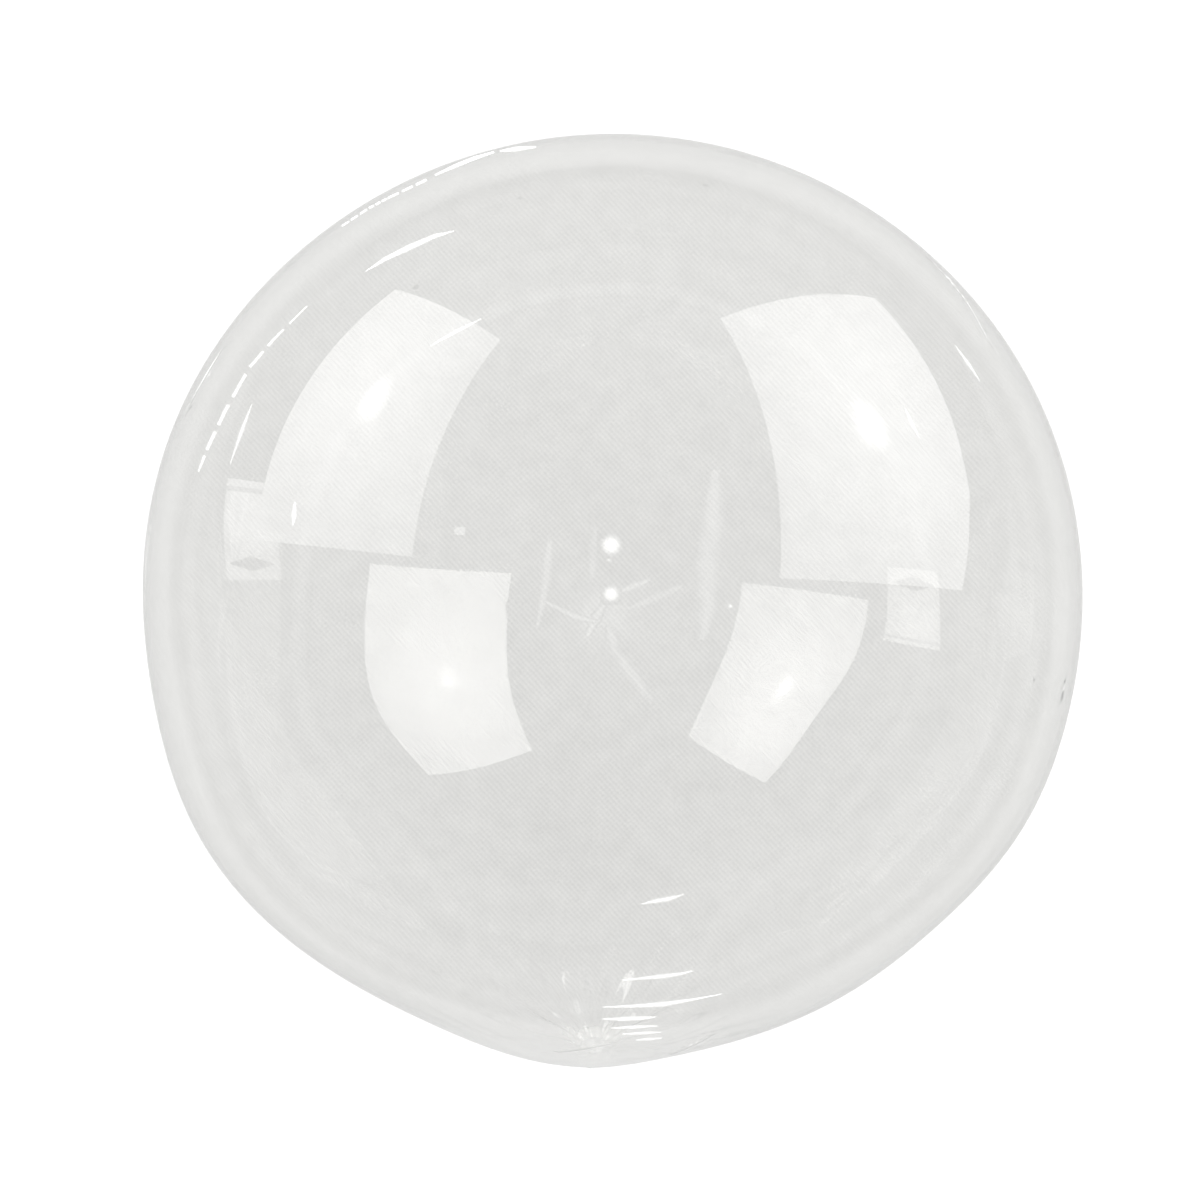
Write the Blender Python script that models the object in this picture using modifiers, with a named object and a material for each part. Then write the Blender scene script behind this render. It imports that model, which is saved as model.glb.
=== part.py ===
"""A clear bubble balloon: one envelope of stretched film, blown up, tied off and lying loose.

Metres, +Z up. The surface that it lies on is z = 0, and the origin is the middle of the flat
spot that the film makes there. The neck points towards -Y and droops below the balloon's middle.
The envelope, its gathered neck, the knot tied in it and the loose end are one solid.
"""

import math

import bmesh
import bpy
from mathutils import Matrix, Vector

OBJECT_NAME = "bubble_balloon"
NODE_NAME = "balloon_envelope"

# Envelope
ENVELOPE_RADIUS = 0.225
FLAT_SPOT_RADIUS = 0.0285
MERIDIANS = 72
PARALLELS = 46
PARALLEL_CROWDING = 1.3  # above 1, the parallels draw together at the neck

# Pose: how far the neck's axis drops below level, and how far it is turned from -Y
NECK_DROOP = math.radians(17.0)
NECK_TURN = math.radians(-2.5)

# The free form of the blown-up film, in shares of its radius. Each swelling has its height, its
# angle from the neck and its spread, the angles in degrees.
SWELLINGS = {
    "flare into the neck": (0.1036, 0.0, 18.0),
    "dip behind the flare": (-0.0071, 35.0, 14.0),
    "waist": (0.0069, 115.0, 25.0),
    "flatter crown": (-0.0039, 180.0, 35.0),
}
# The same for the hips, which stand out to the right and left and not above or below
HIPS = (0.0134, 67.0, 13.0)
# The same for how far the form leans towards its left side
SIDE_SWELLINGS = {
    "shoulder": (0.0162, 20.0, 14.0),
    "hips": (0.0175, 57.0, 14.0),
    "waist": (0.0033, 108.0, 20.0),
}
# How much fuller the film is towards the crown than towards the neck, above and below, where the
# neck's weight draws it out: a share of the radius
TAPER = 0.06

# Pleats of the gather
PLEAT_COUNT = 12
PLEAT_DEPTH = 0.0024
PLEAT_PEAK_ANGLE = math.radians(9.0)  # from the neck, where the pleats are deepest

# Throat: the drawn-in tube of pleats between the envelope and the knot
THROAT_ROOT_RADIUS = 0.0135
THROAT_RADIUS = 0.005
THROAT_LENGTH = 0.003  # clear of the envelope
THROAT_ROOT_DEPTH = 0.012  # within the envelope
THROAT_PLEAT_DEPTH = 0.001
THROAT_IN_KNOT = 0.005  # how far it runs into the knot
THROAT_TWIST = math.radians(3.5)  # the tying turned its pleats past the envelope's

# Knot
KNOT_WIDTH = 0.018
KNOT_HEIGHT = 0.015
KNOT_THICKNESS = 0.015
KNOT_WRAP_DEPTH = 0.0011
KNOT_TWIST = math.radians(8.0)
KNOT_MERIDIANS = 24
KNOT_PARALLELS = 14

# Loose end, which hangs straight down from the knot
TAIL_LENGTH = 0.048
TAIL_WIDTH = 0.036
TAIL_NECK_WIDTH = 0.010
TAIL_THICKNESS = 0.0012
TAIL_FLAT_WIDTH = 0.016
TAIL_RUFFLE = 0.0030
TAIL_COLUMNS = 18
TAIL_ROWS = 12

FILM_COLOUR = (0.93, 0.93, 0.92, 1.0)
FILM_ROUGHNESS = 0.05
FILM_IOR = 1.5
SMOOTH_BELOW = math.radians(30.0)


def clear_scene():
    """Remove every object that the scene holds."""
    for obj in list(bpy.data.objects):
        bpy.data.objects.remove(obj, do_unlink=True)


def new_collection(name):
    """Make a collection in the scene."""
    collection = bpy.data.collections.new(name)
    bpy.context.scene.collection.children.link(collection)
    return collection


def film_material():
    """Clear, slightly warm film."""
    material = bpy.data.materials.new("clear_film")
    material.use_nodes = True
    shader = material.node_tree.nodes["Principled BSDF"]
    shader.inputs["Base Color"].default_value = FILM_COLOUR
    shader.inputs["Metallic"].default_value = 0.0
    shader.inputs["Roughness"].default_value = FILM_ROUGHNESS
    shader.inputs["IOR"].default_value = FILM_IOR
    shader.inputs["Transmission Weight"].default_value = 1.0
    return material


def object_from(bm, name, collection, material):
    """Turn a bmesh into a smooth-shaded object."""
    bmesh.ops.recalc_face_normals(bm, faces=bm.faces)
    mesh = bpy.data.meshes.new(name)
    bm.to_mesh(mesh)
    bm.free()
    mesh.materials.append(material)
    mesh.shade_smooth()
    mesh.set_sharp_from_angle(angle=SMOOTH_BELOW)
    obj = bpy.data.objects.new(name, mesh)
    collection.objects.link(obj)
    return obj


def hump(angle, place, spread):
    """A smooth rise of height 1 at one angle, all in degrees."""
    return math.exp(-(((angle - place) / spread) ** 2))


def film_radius(from_neck, around):
    """Distance of the film from the envelope's middle.

    from_neck is the angle from the neck's axis, and around the angle about it from the right.
    """
    degrees = math.degrees(from_neck)
    form = sum(height * hump(degrees, place, spread) for height, place, spread in SWELLINGS.values())
    lean = sum(height * hump(degrees, place, spread) for height, place, spread in SIDE_SWELLINGS.values())
    form += HIPS[0] * hump(degrees, *HIPS[1:]) * math.cos(around) ** 2
    upright = math.sin(from_neck) * math.sin(around)
    form -= TAPER * math.cos(from_neck) * upright**2
    reach = from_neck / PLEAT_PEAK_ANGLE
    pleat = PLEAT_DEPTH * reach**2 * math.exp(1.0 - reach**2) * math.cos(PLEAT_COUNT * around)
    return ENVELOPE_RADIUS * (1.0 + form - lean * math.cos(around)) + pleat


def neck_pose():
    """Turn the local +Z axis to the neck's direction, with local +X still to the right."""
    droop = Matrix.Rotation(math.pi / 2 + NECK_DROOP, 4, "X")
    turn = Matrix.Rotation(NECK_TURN, 4, "Z")
    return turn @ droop


def envelope_mesh(pose):
    """The blown-up film with its flat spot on z = 0, and where the envelope's middle came to lie."""
    bm = bmesh.new()
    bmesh.ops.create_uvsphere(bm, u_segments=MERIDIANS, v_segments=PARALLELS, radius=1.0)
    for vert in bm.verts:
        spaced = math.acos(max(-1.0, min(1.0, vert.co.z)))
        from_neck = math.pi * (spaced / math.pi) ** PARALLEL_CROWDING
        around = math.atan2(vert.co.y, vert.co.x)
        level = math.sin(from_neck)
        direction = Vector((level * math.cos(around), level * math.sin(around), math.cos(from_neck)))
        vert.co = direction * film_radius(from_neck, around)

    down = pose.inverted() @ Vector((0.0, 0.0, -1.0))
    underside = film_radius(math.acos(down.z), math.atan2(down.y, down.x))
    middle = Vector((0.0, 0.0, math.sqrt(underside**2 - FLAT_SPOT_RADIUS**2)))
    bm.transform(Matrix.Translation(middle) @ pose)

    everything = list(bm.verts) + list(bm.edges) + list(bm.faces)
    cut = bmesh.ops.bisect_plane(
        bm, geom=everything, plane_co=(0.0, 0.0, 0.0), plane_no=(0.0, 0.0, -1.0), clear_outer=True
    )
    rim = [part for part in cut["geom_cut"] if isinstance(part, bmesh.types.BMEdge)]
    flat_spot = bmesh.ops.contextual_create(bm, geom=rim)["faces"][0]
    spot_middle = flat_spot.calc_center_bounds()
    to_origin = Vector((-spot_middle.x, -spot_middle.y, 0.0))
    bmesh.ops.translate(bm, verts=bm.verts, vec=to_origin)
    return bm, middle + to_origin


def throat_mesh():
    """The pleated tube along local +Z, from inside the envelope into the knot."""
    length = THROAT_ROOT_DEPTH + THROAT_LENGTH + THROAT_IN_KNOT
    bm = bmesh.new()
    bmesh.ops.create_cone(
        bm,
        cap_ends=True,
        segments=2 * PLEAT_COUNT,
        radius1=THROAT_ROOT_RADIUS,
        radius2=THROAT_RADIUS,
        depth=length,
    )
    for vert in bm.verts:
        around = math.atan2(vert.co.y, vert.co.x)
        outwards = Vector((vert.co.x, vert.co.y, 0.0)).normalized()
        vert.co += outwards * THROAT_PLEAT_DEPTH / 2 * math.cos(PLEAT_COUNT * around)
        vert.co.z += length / 2 - THROAT_ROOT_DEPTH
    return bm


def knot_mesh():
    """A pulled-tight overhand knot: a rounded lump with a slanting wrap around it."""
    bm = bmesh.new()
    bmesh.ops.create_uvsphere(bm, u_segments=KNOT_MERIDIANS, v_segments=KNOT_PARALLELS, radius=1.0)
    half_sizes = Vector((KNOT_WIDTH, KNOT_HEIGHT, KNOT_THICKNESS)) / 2
    for vert in bm.verts:
        direction = vert.co.normalized()
        across = direction.z + 0.5 * direction.x
        wrap = KNOT_WRAP_DEPTH * math.cos(3.0 * math.pi * across)
        vert.co = Vector(half * share for half, share in zip(half_sizes, direction)) + direction * wrap
    return bm


def tail_mesh():
    """The loose end as an open fan in local XZ, hanging from the knot's middle, flat down its middle."""
    bm = bmesh.new()
    bmesh.ops.create_grid(bm, x_segments=TAIL_COLUMNS, y_segments=TAIL_ROWS, size=1.0)
    reach = KNOT_HEIGHT / 2 + TAIL_LENGTH
    for vert in bm.verts:
        sideways = vert.co.x
        down = (1.0 - vert.co.y) / 2
        opened = math.sin(down * math.pi / 2)
        half_width = (TAIL_NECK_WIDTH + (TAIL_WIDTH - TAIL_NECK_WIDTH) * opened) / 2
        x = sideways * half_width
        past_flat = max(0.0, abs(x) - TAIL_FLAT_WIDTH / 2) / (TAIL_WIDTH / 2)
        ruffle = TAIL_RUFFLE * math.sin(min(1.0, past_flat * 2.2) * math.pi) * math.copysign(1.0, x)
        vert.co = Vector((x, ruffle, -reach * down))
    return bm


def build():
    """Build the balloon and return its object."""
    clear_scene()
    balloon = new_collection(OBJECT_NAME)
    cutters = new_collection("joined_shapes")
    material = film_material()

    pose = neck_pose()
    bm, middle = envelope_mesh(pose)
    envelope = object_from(bm, NODE_NAME, balloon, material)

    mouth = film_radius(0.0, 0.0)
    throat = object_from(throat_mesh(), "throat", cutters, material)
    throat_place = Matrix.Translation((0.0, 0.0, mouth)) @ Matrix.Rotation(THROAT_TWIST, 4, "Z")
    throat.matrix_world = Matrix.Translation(middle) @ pose @ throat_place

    knot_place = pose @ Vector((0.0, 0.0, mouth + THROAT_LENGTH + KNOT_THICKNESS / 2))
    knot = object_from(knot_mesh(), "knot", cutters, material)
    twisted = pose @ Matrix.Rotation(KNOT_TWIST, 4, "Z")
    knot.matrix_world = Matrix.Translation(middle + knot_place) @ twisted

    tail = object_from(tail_mesh(), "tail", cutters, material)
    tail.matrix_world = Matrix.Translation(middle + knot_place) @ Matrix.Rotation(NECK_TURN, 4, "Z")
    thickness = tail.modifiers.new("film", "SOLIDIFY")
    thickness.thickness = TAIL_THICKNESS
    thickness.offset = 0.0
    thickness.use_even_offset = True

    for shape in (throat, knot, tail):
        shape.hide_render = True
        shape.display_type = "WIRE"
        join = envelope.modifiers.new(f"join_{shape.name}", "BOOLEAN")
        join.operation = "UNION"
        join.solver = "EXACT"
        join.object = shape
    return envelope


if __name__ == "__main__":
    build()
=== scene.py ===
"""Looks of the clear bubble balloon: its blown-up film, gathered neck, knot and loose end.

The film is a real, thin, double-sided wall around air, with the creases, seams and specks that
stretched film has. Two big lamps, a window and two small ceiling lamps light it, and their
mirror images on the near and the far film are most of what shows of it.
"""

import logging
import math
import random
from dataclasses import dataclass
from enum import Enum

import bmesh
import bpy
import numpy as np
from mathutils import Matrix, Vector

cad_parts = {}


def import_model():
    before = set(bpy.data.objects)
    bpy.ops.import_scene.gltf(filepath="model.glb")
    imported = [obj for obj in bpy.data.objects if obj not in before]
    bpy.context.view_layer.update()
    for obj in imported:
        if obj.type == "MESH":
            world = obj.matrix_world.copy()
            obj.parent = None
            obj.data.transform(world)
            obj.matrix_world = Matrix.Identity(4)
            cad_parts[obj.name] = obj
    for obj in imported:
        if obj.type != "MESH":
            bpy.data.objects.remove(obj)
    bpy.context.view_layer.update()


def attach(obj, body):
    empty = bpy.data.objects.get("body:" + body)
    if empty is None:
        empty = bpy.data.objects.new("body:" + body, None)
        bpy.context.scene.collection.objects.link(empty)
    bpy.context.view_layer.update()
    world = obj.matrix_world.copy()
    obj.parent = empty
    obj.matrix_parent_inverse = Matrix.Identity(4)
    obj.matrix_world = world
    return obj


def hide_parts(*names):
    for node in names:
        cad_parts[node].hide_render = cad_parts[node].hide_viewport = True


LOG = logging.getLogger("bubble_balloon")

FLOOR_DROP = 0.0006  # the floor lies this far below the film, so the two never share a plane
CAD_NODE = "balloon_envelope"


class Side(Enum):
    """The side of a surface that something grows to."""

    OUTWARDS = 1
    INWARDS = -1


class Film(Enum):
    """The film, near or far in the picture, that mirrors a lamp."""

    NEAR = "near"
    FAR = "far"


def from_up(angle: float, bearing: float) -> np.ndarray:
    """Direction at an angle from straight up and a bearing anticlockwise from +X.

    Args:
        angle: degrees from straight up.
        bearing: degrees from +X, seen from above.

    Returns:
        A unit vector.
    """
    tilt = math.radians(angle)
    turn = math.radians(bearing)
    return np.array((math.sin(tilt) * math.cos(turn), math.sin(tilt) * math.sin(turn), math.cos(tilt)))


# ---------------------------------------------------------------------------------------------
# Form of the film, with the same sizes as the solid
# ---------------------------------------------------------------------------------------------


@dataclass(frozen=True)
class Crease:
    """A narrow ridge or groove in the film, along an arc between two directions.

    A ridge no longer than a point is a speck. Places are (degrees from straight up, bearing).
    """

    start: tuple[float, float]
    end: tuple[float, float]
    height: float = 0.0005
    width: float = 0.0013
    side: Side = Side.OUTWARDS

    def relief(self, directions: np.ndarray, radius: float) -> np.ndarray:
        """How far the film stands out at each direction.

        Args:
            directions: unit vectors from the balloon's middle, one a row.
            radius: the balloon's radius, to turn angles into lengths.

        Returns:
            The relief in metres, one value a row.
        """
        across = self.across(directions, radius)
        return np.exp(-((across / self.width) ** 2)) * self.height * self.side.value

    def across(self, directions: np.ndarray, radius: float) -> np.ndarray:
        """How far directions lie from the crease's line.

        Args:
            directions: unit vectors from the balloon's middle, one a row.
            radius: the balloon's radius.

        Returns:
            The distances in metres.
        """
        first, last = from_up(*self.start), from_up(*self.end)
        line = last - first
        length = float(np.linalg.norm(line))
        if length < 1e-6:
            return np.linalg.norm(directions - first, axis=1) * radius
        share = np.clip((directions - first) @ line / length**2, 0.0, 1.0)
        foot = first + np.outer(share, line)
        foot = foot / np.linalg.norm(foot, axis=1)[:, None]
        return np.linalg.norm(directions - foot, axis=1) * radius


@dataclass(frozen=True)
class FilmForm:
    """The free form of the blown-up film: a ball drawn out to its neck, leaning to its left."""

    radius: float = 0.225
    droop: float = math.radians(17.0)
    turn: float = math.radians(-2.5)
    swellings: tuple[tuple[float, float, float], ...] = (
        (0.1036, 0.0, 18.0),
        (-0.0071, 35.0, 14.0),
        (0.0069, 115.0, 25.0),
        (-0.0039, 180.0, 35.0),
    )
    hips: tuple[float, float, float] = (0.0134, 67.0, 13.0)
    side_swellings: tuple[tuple[float, float, float], ...] = (
        (0.0162, 20.0, 14.0),
        (0.0175, 57.0, 14.0),
        (0.0033, 108.0, 20.0),
    )
    taper: float = 0.06
    pleat_count: int = 12
    pleat_depth: float = 0.0024
    pleat_peak: float = math.radians(9.0)
    middle: tuple[float, float, float] = (-0.00006, -0.01148, 0.21964)

    def pose(self) -> Matrix:
        """Turn from the neck's own frame, +Z out of the neck and +X to the right, to the balloon's."""
        return Matrix.Rotation(self.turn, 4, "Z") @ Matrix.Rotation(math.pi / 2 + self.droop, 4, "X")

    def radii(self, from_neck: np.ndarray, around: np.ndarray) -> np.ndarray:
        """Distance of the film from the balloon's middle.

        Args:
            from_neck: radians from the neck's axis.
            around: radians about that axis from the right.

        Returns:
            The distances in metres.
        """
        degrees = np.degrees(from_neck)
        form = sum(h * np.exp(-(((degrees - p) / s) ** 2)) for h, p, s in self.swellings)
        lean = sum(h * np.exp(-(((degrees - p) / s) ** 2)) for h, p, s in self.side_swellings)
        height, place, spread = self.hips
        form = form + height * np.exp(-(((degrees - place) / spread) ** 2)) * np.cos(around) ** 2
        upright = np.sin(from_neck) * np.sin(around)
        form = form - self.taper * np.cos(from_neck) * upright**2
        reach = from_neck / self.pleat_peak
        slack = 0.55 - 0.45 * np.clip(1.6 * np.sin(around) + 0.3, -1.0, 1.0)
        pleat = self.pleat_depth * slack * reach**2 * np.exp(1.0 - reach**2)
        pleat = pleat * np.cos(self.pleat_count * around)
        return self.radius * (1.0 + form - lean * np.cos(around)) + pleat

    def neck_angles(self, directions: np.ndarray) -> tuple[np.ndarray, np.ndarray]:
        """The angle from the neck and the angle about it, of directions in the balloon's frame."""
        local = directions @ np.array(self.pose().to_3x3())
        return np.arccos(np.clip(local[:, 2], -1.0, 1.0)), np.arctan2(local[:, 1], local[:, 0])

    def mouth(self) -> float:
        """Distance from the middle to where the throat leaves the film."""
        return float(self.radii(np.zeros(1), np.zeros(1))[0])


# ---------------------------------------------------------------------------------------------
# Node trees
# ---------------------------------------------------------------------------------------------


Value = bpy.types.NodeSocket | float | tuple[float, ...]


@dataclass(frozen=True)
class NodeBoard:
    """A node tree, with short ways to add to it."""

    tree: bpy.types.NodeTree

    def node(self, kind: str, inputs: dict[str | int, Value], operation: str = "") -> bpy.types.Node:
        """Add a node.

        Args:
            kind: its type, without the leading "ShaderNode".
            inputs: a socket or a plain value for each input that is set.
            operation: what it does, on a node for sums.

        Returns:
            The node.
        """
        node = self.tree.nodes.new(f"ShaderNode{kind}")
        if operation:
            node.operation = operation
        for key, value in inputs.items():
            if isinstance(value, bpy.types.NodeSocket):
                self.tree.links.new(value, node.inputs[key])
            else:
                node.inputs[key].default_value = value
        return node

    def place(self, kind: str) -> bpy.types.NodeSocket:
        """Texture coordinates, of a kind such as Object or UV."""
        return self.node("TexCoord", {}).outputs[kind]

    def total(self, operation: str, first: Value, second: Value) -> bpy.types.NodeSocket:
        """The outcome of an operation on two sockets or numbers."""
        return self.node("Math", {0: first, 1: second}, operation).outputs["Value"]

    def distance(self, place: Value, point: tuple[float, float, float]) -> bpy.types.NodeSocket:
        """How far a place is from a point."""
        return self.node("VectorMath", {0: place, 1: point}, "DISTANCE").outputs["Value"]

    def scaled(self, vector: Value, scale: bpy.types.NodeSocket) -> bpy.types.NodeSocket:
        """A vector or a colour times a number."""
        return self.node("VectorMath", {0: vector, "Scale": scale}, "SCALE").outputs["Vector"]

    def noise(
        self, place: bpy.types.NodeSocket, scale: float, detail: float = 0.0, roughness: float = 0.5
    ) -> bpy.types.NodeSocket:
        """Noise of a scale, and how much finer noise goes into it."""
        inputs = {"Vector": place, "Scale": scale, "Detail": detail, "Roughness": roughness}
        return self.node("TexNoise", inputs).outputs["Fac"]

    def graded(
        self,
        value: bpy.types.NodeSocket,
        span: tuple[float, float],
        levels: tuple[float, float] = (0.0, 1.0),
        shape: str = "LINEAR",
    ) -> bpy.types.NodeSocket:
        """A grade from one level to another.

        Args:
            value: what it follows.
            span: the values where it starts and ends.
            levels: its level before the span and after it.
            shape: the curve between them.

        Returns:
            The level.
        """
        ends = {"From Min": span[0], "From Max": span[1], "To Min": levels[0], "To Max": levels[1]}
        node = self.node("MapRange", {"Value": value, **ends})
        node.interpolation_type = shape
        return node.outputs["Result"]

    def ramp(
        self, share: bpy.types.NodeSocket, stops: tuple[tuple[float, float], ...], warmth: float, shape: str
    ) -> bpy.types.NodeSocket:
        """Greys along a ramp.

        Args:
            share: the place on the ramp, from 0 to 1.
            stops: the place and the level of each stop.
            warmth: the share of each level that its blue keeps.
            shape: the curve between stops.

        Returns:
            The colour.
        """
        node = self.node("ValToRGB", {"Fac": share})
        scale = node.color_ramp
        scale.interpolation = shape
        scale.elements[0].position, scale.elements[1].position = stops[0][0], stops[-1][0]
        for position, _ in stops[1:-1]:
            scale.elements.new(position)
        for element, (_, level) in zip(scale.elements, stops):
            element.color = (level, level, level * warmth, 1.0)
        return node.outputs["Color"]

    def emission(self, strength: Value, colour: Value = (1.0, 1.0, 1.0, 1.0)) -> bpy.types.NodeSocket:
        """Light of a strength and colour."""
        return self.node("Emission", {"Color": colour, "Strength": strength}).outputs["Emission"]

    def clear_and(
        self,
        share: bpy.types.NodeSocket,
        first: bpy.types.NodeSocket | None,
        second: bpy.types.NodeSocket | None,
    ) -> bpy.types.NodeSocket:
        """Mix two shaders by a share of the second, where none stands for a clear one."""
        mixed = self.node("MixShader", {"Fac": share})
        for slot, shader in ((1, first), (2, second)):
            shader = shader or self.node("BsdfTransparent", {}).outputs["BSDF"]
            self.tree.links.new(shader, mixed.inputs[slot])
        return mixed.outputs["Shader"]

    def show(self, shader: bpy.types.NodeSocket) -> None:
        """Make a shader the material's surface."""
        self.node("OutputMaterial", {"Surface": shader})


def light_material(name: str) -> bpy.types.Material:
    """An empty material for a surface of light, which isn't sampled as a lamp."""
    material = bpy.data.materials.new(name)
    material.use_nodes = True
    material.cycles.emission_sampling = "NONE"
    material.node_tree.nodes.clear()
    return material


# ---------------------------------------------------------------------------------------------
# Finishes
# ---------------------------------------------------------------------------------------------


@dataclass(frozen=True)
class FilmWear:
    """Clouding, gel specks, scuffs and fine waviness of stretched film, on the piece's own coordinates."""

    cloud_scale: float = 7.0
    grain_scale: float = 620.0
    grain_share: float = 0.9
    scuff_turn: tuple[float, float, float] = (0.3, 0.5, 0.7)
    scuff_stretch: tuple[float, float, float] = (40.0, 420.0, 40.0)
    scuff_span: tuple[float, float] = (0.66, 0.80)
    scuff_roughness: float = 0.05
    speck_scale: float = 26.0
    speck_rarity: float = 0.88
    speck_span: tuple[float, float] = (0.028, 0.05)
    speck_shade: float = 0.25
    speck_roughness: float = 0.2

    def group(self) -> bpy.types.NodeTree:
        """Build the shared group.

        Returns:
            A node group with inputs Film Colour, Cloud Depth, Speck Share, Smoothness and Waviness,
            and outputs Colour, Roughness and Height.
        """
        group = bpy.data.node_groups.new("stretched_film", "ShaderNodeTree")
        face = group.interface
        colour_in = face.new_socket(name="Film Colour", in_out="INPUT", socket_type="NodeSocketColor")
        colour_in.default_value = (0.9, 0.9, 0.89, 1.0)
        shares = {"Cloud Depth": 0.03, "Speck Share": 0.5, "Smoothness": 0.03, "Waviness": 0.2}
        for name, value in shares.items():
            face.new_socket(name=name, in_out="INPUT", socket_type="NodeSocketFloat").default_value = value
        for name, kind in (("Colour", "Color"), ("Roughness", "Float"), ("Height", "Float")):
            face.new_socket(name=name, in_out="OUTPUT", socket_type=f"NodeSocket{kind}")

        board = NodeBoard(group)
        given = group.nodes.new("NodeGroupInput").outputs
        result = group.nodes.new("NodeGroupOutput").inputs
        place = board.place("Object")
        cloud = board.noise(place, self.cloud_scale, 1.0, 0.55)
        grain = board.noise(place, self.grain_scale)
        stretch = {"Vector": place, "Rotation": self.scuff_turn, "Scale": self.scuff_stretch}
        scuffs = board.noise(board.node("Mapping", stretch).outputs["Vector"], 1.0)

        cells = board.node("TexVoronoi", {"Vector": place, "Scale": self.speck_scale, "Randomness": 1.0})
        pick = board.node("SeparateXYZ", {"Vector": cells.outputs["Color"]}).outputs["X"]
        chosen = board.total("GREATER_THAN", pick, self.speck_rarity)
        dot = board.graded(cells.outputs["Distance"], self.speck_span, shape="SMOOTHSTEP")
        specks = board.total("MULTIPLY", board.total("SUBTRACT", 1.0, dot), chosen)
        specks = board.total("MULTIPLY", specks, given["Speck Share"])

        clouding = board.total("SUBTRACT", cloud, 0.5)
        graining = board.total("MULTIPLY", board.total("SUBTRACT", grain, 0.5), self.grain_share)
        shade = board.total("MULTIPLY", board.total("ADD", clouding, graining), given["Cloud Depth"])
        dimmed = board.total("MULTIPLY", specks, self.speck_shade)
        shade = board.total("SUBTRACT", board.total("ADD", 1.0, shade), dimmed)
        group.links.new(board.scaled(given["Film Colour"], shade), result["Colour"])

        scuffed = board.graded(scuffs, self.scuff_span, shape="SMOOTHSTEP")
        rough = board.total("MULTIPLY", scuffed, self.scuff_roughness)
        rough = board.total("ADD", given["Smoothness"], rough)
        rough = board.total("ADD", rough, board.total("MULTIPLY", specks, self.speck_roughness))
        group.links.new(rough, result["Roughness"])

        height = board.total("MULTIPLY", cloud, given["Waviness"])
        group.links.new(board.total("ADD", height, specks), result["Height"])
        return group


@dataclass(frozen=True)
class ClearFilm:
    """A finish of clear, glossy stretch film."""

    name: str
    colour: tuple[float, float, float, float] = (0.95, 0.949, 0.943, 1.0)
    smoothness: float = 0.0
    cloud_depth: float = 0.035
    speck_share: float = 0.35
    index: float = 1.5
    clearness: float = 1.0
    waviness: float = 0.2
    relief: float = 0.00002

    def material(self, wear: bpy.types.NodeTree) -> bpy.types.Material:
        """Make the material.

        Args:
            wear: the group for stretched film.

        Returns:
            A see-through material with plain values for transmission and index.
        """
        material = bpy.data.materials.new(self.name)
        material.use_nodes = True
        nodes, links = material.node_tree.nodes, material.node_tree.links
        shader = nodes["Principled BSDF"]
        shader.inputs["Metallic"].default_value = 0.0
        shader.inputs["Transmission Weight"].default_value = self.clearness
        shader.inputs["IOR"].default_value = self.index
        film = nodes.new("ShaderNodeGroup")
        film.node_tree = wear
        film.inputs["Film Colour"].default_value = self.colour
        film.inputs["Cloud Depth"].default_value = self.cloud_depth
        film.inputs["Speck Share"].default_value = self.speck_share
        film.inputs["Smoothness"].default_value = self.smoothness
        film.inputs["Waviness"].default_value = self.waviness
        links.new(film.outputs["Colour"], shader.inputs["Base Color"])
        links.new(film.outputs["Roughness"], shader.inputs["Roughness"])
        bump = nodes.new("ShaderNodeBump")
        bump.inputs["Strength"].default_value = 1.0
        bump.inputs["Distance"].default_value = self.relief
        links.new(film.outputs["Height"], bump.inputs["Height"])
        links.new(bump.outputs["Normal"], shader.inputs["Normal"])
        return material


def finished(bm: bmesh.types.BMesh, name: str, material: bpy.types.Material) -> bpy.types.Object:
    """Turn a bmesh into a smooth-shaded piece that rides on the balloon.

    Args:
        bm: the mesh, in place in the balloon's frame. It is freed.
        name: the piece's name.
        material: its finish.

    Returns:
        The new object.
    """
    bmesh.ops.recalc_face_normals(bm, faces=bm.faces)
    mesh = bpy.data.meshes.new(name)
    bm.to_mesh(mesh)
    bm.free()
    mesh.materials.append(material)
    mesh.shade_smooth()
    obj = bpy.data.objects.new(name, mesh)
    bpy.context.scene.collection.objects.link(obj)
    obj.visible_shadow = False
    obj.visible_diffuse = False
    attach(obj, "root")
    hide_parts(CAD_NODE)
    return obj


def turned_about(bm: bmesh.types.BMesh, outline: list, steps: int) -> None:
    """Turn an outline all the way about +Z, in steps, to make a closed surface."""
    turn = 2 * math.pi
    bmesh.ops.spin(bm, geom=outline, cent=(0, 0, 0), axis=(0, 0, 1), angle=turn, steps=steps, use_merge=True)


def walled(obj: bpy.types.Object, thickness: float, side: Side) -> bpy.types.Object:
    """Give a film piece its wall.

    Args:
        obj: the piece, a single surface.
        thickness: of the wall in metres.
        side: the side of the surface that the wall grows to.

    Returns:
        The same object.
    """
    wall = obj.modifiers.new("wall", "SOLIDIFY")
    wall.thickness = thickness
    wall.offset = float(side.value)
    wall.use_even_offset = True
    return obj


# ---------------------------------------------------------------------------------------------
# The balloon
# ---------------------------------------------------------------------------------------------


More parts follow.
